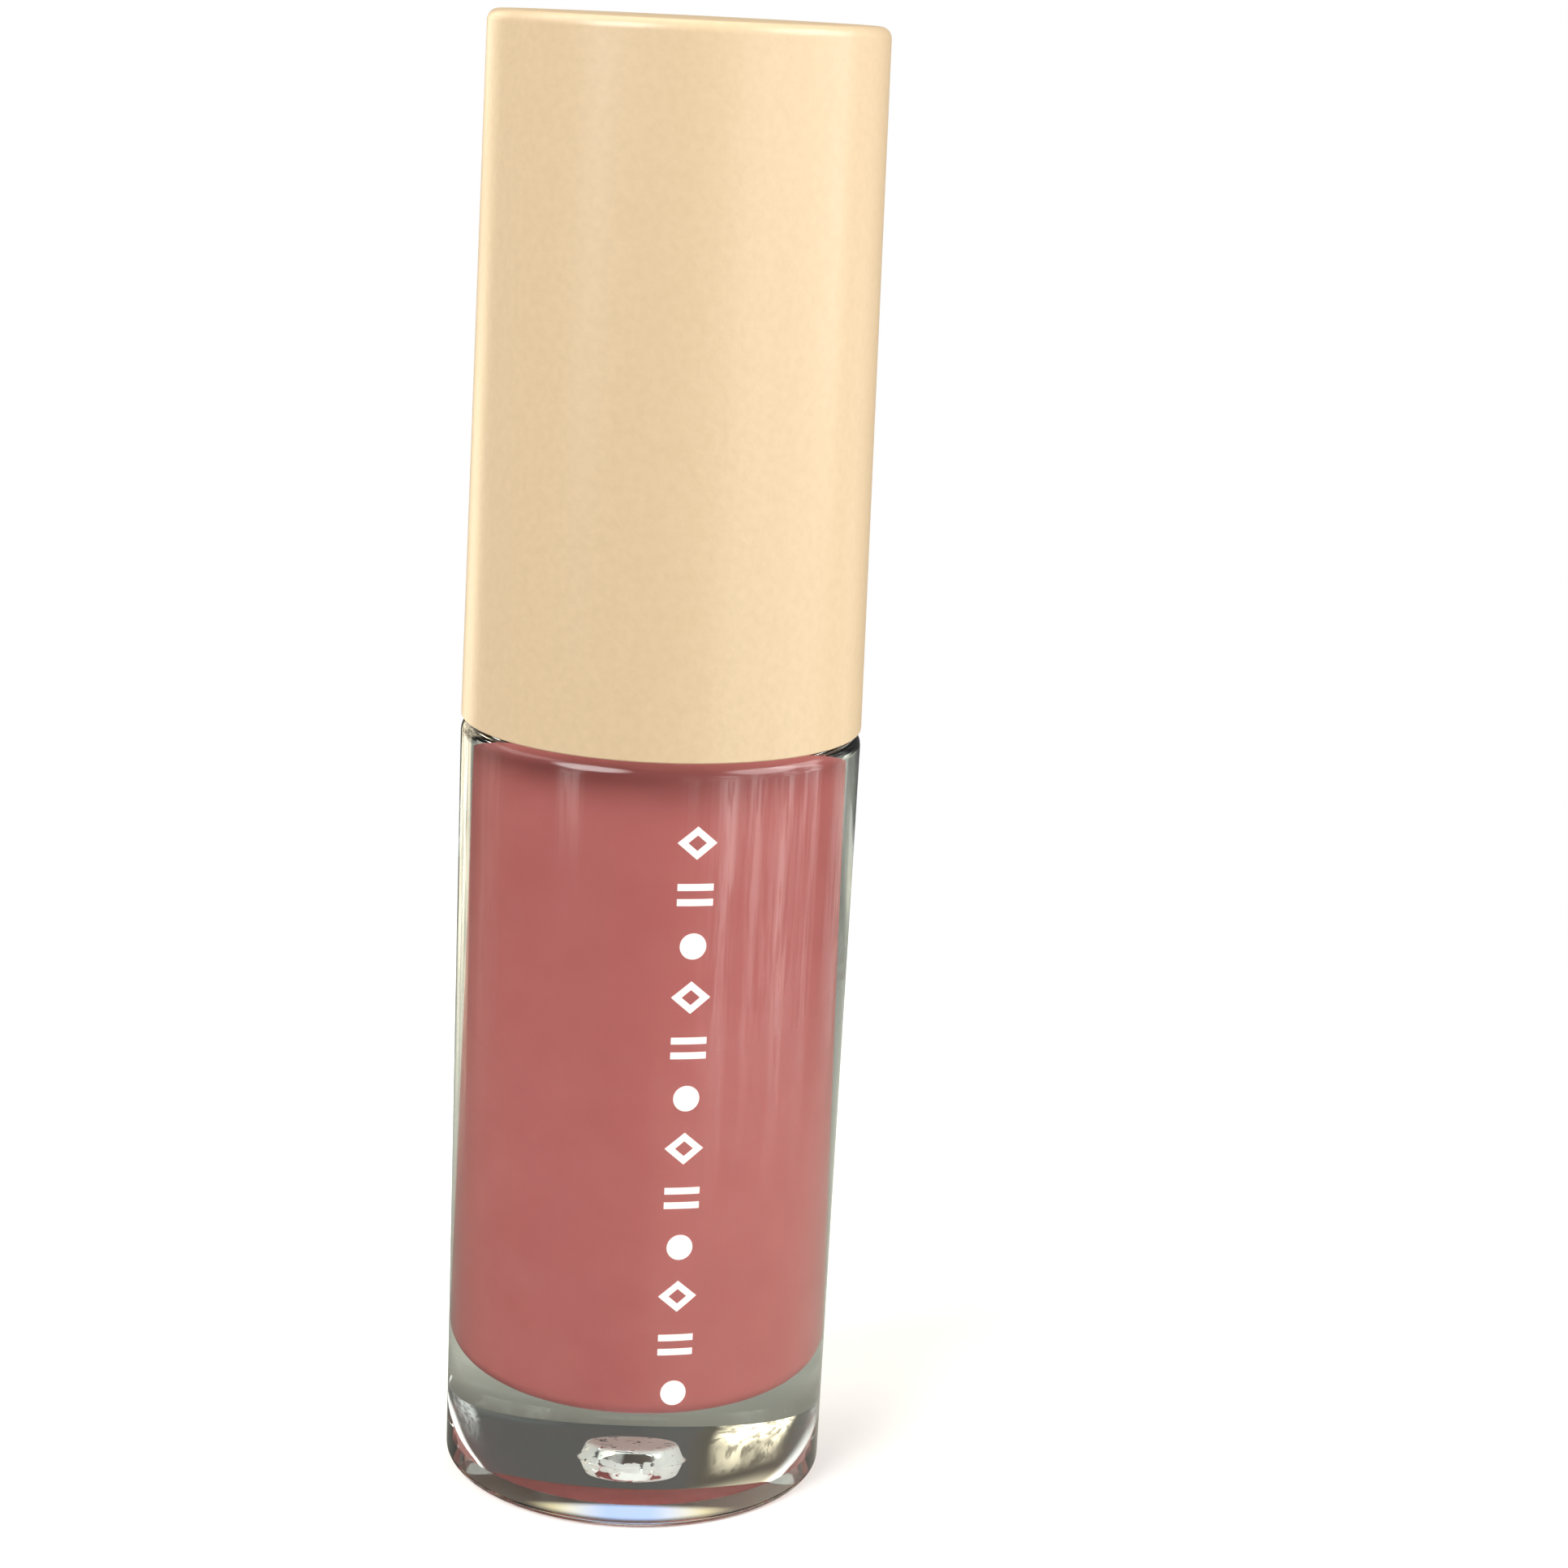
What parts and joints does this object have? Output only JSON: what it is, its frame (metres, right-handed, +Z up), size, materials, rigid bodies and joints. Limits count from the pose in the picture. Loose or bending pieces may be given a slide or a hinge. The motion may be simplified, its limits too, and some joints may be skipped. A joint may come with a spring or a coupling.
{
  "type": "lip gloss tube",
  "caption": "Slim round lip gloss tube: thick clear bottle with a wiper and a satin screw cap that lifts out an applicator wand.",
  "frame": {"origin": "centre of the bottle's foot, on the surface it stands on", "axes": "+Z up the tube's axis, from the bottle's foot to the cap's top; +X is the side that the applicator tip's slanted face looks to"},
  "size_m": [0.016, 0.016, 0.0589],
  "materials": {
    "clear_bottle": "clear polished acrylic, thick-walled",
    "rose_gloss": "opaque dusty rose liquid, wet gloss",
    "wiper_plug": "translucent white soft polyethylene",
    "foam_washer": "white foamed polyethylene, fine cells",
    "steel_slug": "turned steel",
    "satin_cap": "satin beige moulded ABS",
    "white_liner": "natural white moulded polypropylene",
    "wand_plastic": "smooth moulded acetal",
    "tip_rubber": "soft moulded elastomer",
    "nylon_flock": "short dense nylon flock, wet with gloss"
  },
  "bodies": {
    "bottle": {"bottle": "clear_bottle", "gloss_fill": "rose_gloss", "wiper": "wiper_plug"},
    "washer": {"seal_washer": "foam_washer"},
    "weight": {"cap_weight": "steel_slug"},
    "cap": {"overcap": "satin_cap", "inner_cap": "white_liner", "wand_stem": "wand_plastic", "tip_core": "tip_rubber", "flock_coat": "nylon_flock"}
  },
  "joints": [
    {"name": "wand_pull", "type": "slide", "parent": "bottle", "child": "washer", "axis": [0, 0, 1], "range_m": [0, 0.044]},
    {"name": "thread_lift", "type": "slide", "parent": "washer", "child": "weight", "axis": [0, 0, 1], "range_m": [0, 0.00375]},
    {"name": "cap_turn", "type": "hinge", "parent": "weight", "child": "cap", "pos_m": [0, 0, 0], "axis": [0, 0, 1], "range_deg": [0, 540]}
  ],
  "couplings": [
    {"joint": "thread_lift", "follows": "cap_turn", "m_per_rad": 0.00039789}
  ]
}
